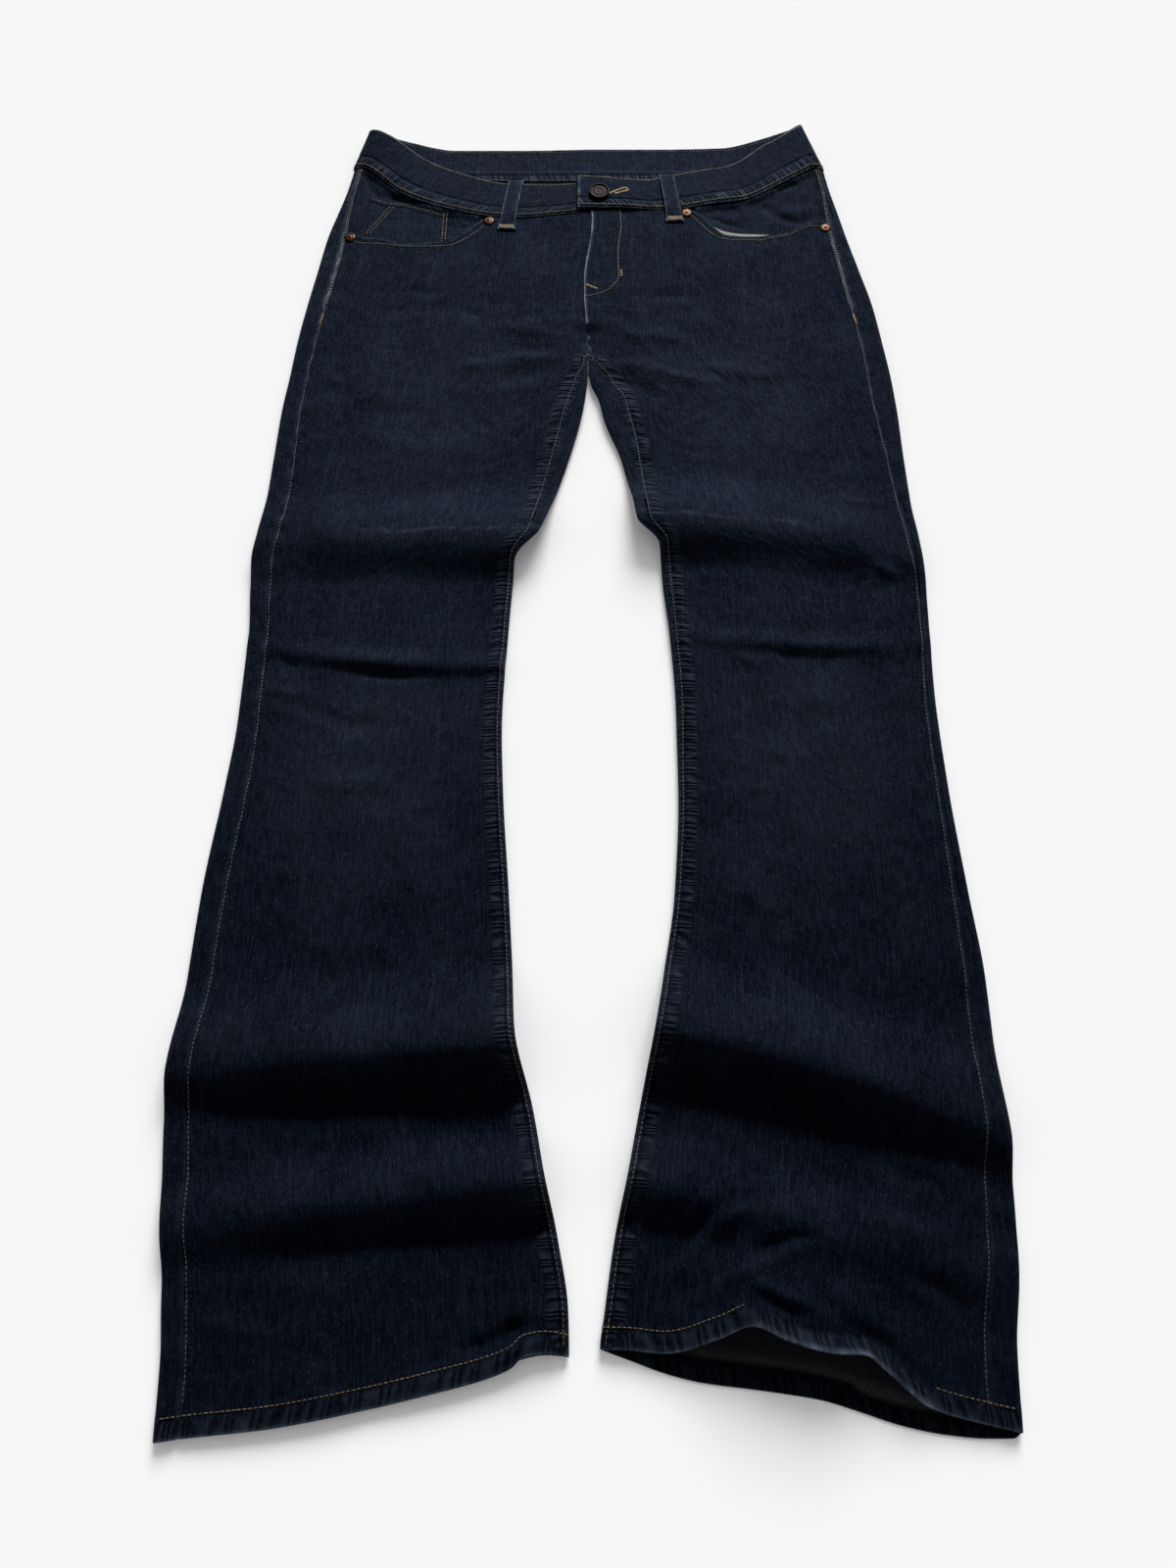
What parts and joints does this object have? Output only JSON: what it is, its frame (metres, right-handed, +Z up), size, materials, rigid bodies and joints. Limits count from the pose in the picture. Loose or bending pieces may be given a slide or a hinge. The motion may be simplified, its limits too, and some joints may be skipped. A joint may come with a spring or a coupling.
{
  "type": "bootcut jeans",
  "caption": "Low-rise bootcut jeans in dark denim laid flat front side up: five pockets, belt loops, fly with tack button, flared legs with buckled folds.",
  "frame": {"origin": "middle of the jeans' outline, on the surface they lie on", "axes": "+Y from the hems to the waist, +X to the wearer's left, +Z up out of the front"},
  "size_m": [0.5279, 1.058, 0.0316],
  "materials": {
    "denim": "raw-dark indigo twill, faded on the ridges, tan top-stitching",
    "lining": "plain off-white cotton",
    "zip_tape": "navy zip tape with metal teeth",
    "bronze": "dark bronze with a copper rim, plain face",
    "copper": "aged copper, domed"
  },
  "bodies": {
    "root": {"front_right": "denim", "front_left": "denim", "back_right": "denim", "back_left": "denim", "yoke_right": "denim", "yoke_left": "denim", "waistband": "denim", "pocket_facing_right": "denim", "pocket_facing_left": "denim", "coin_pocket": "denim", "pocket_bag_left": "lining", "back_pocket_right": "denim", "back_pocket_left": "denim", "belt_loop_front_right": "denim", "belt_loop_front_left": "denim", "belt_loop_back_right": "denim", "belt_loop_back_centre": "denim", "belt_loop_back_left": "denim", "zip": "zip_tape", "button": "bronze", "rivet_right_outer": "copper", "rivet_right_inner": "copper", "rivet_left_inner": "copper", "rivet_left_outer": "copper"}
  },
  "joints": []
}
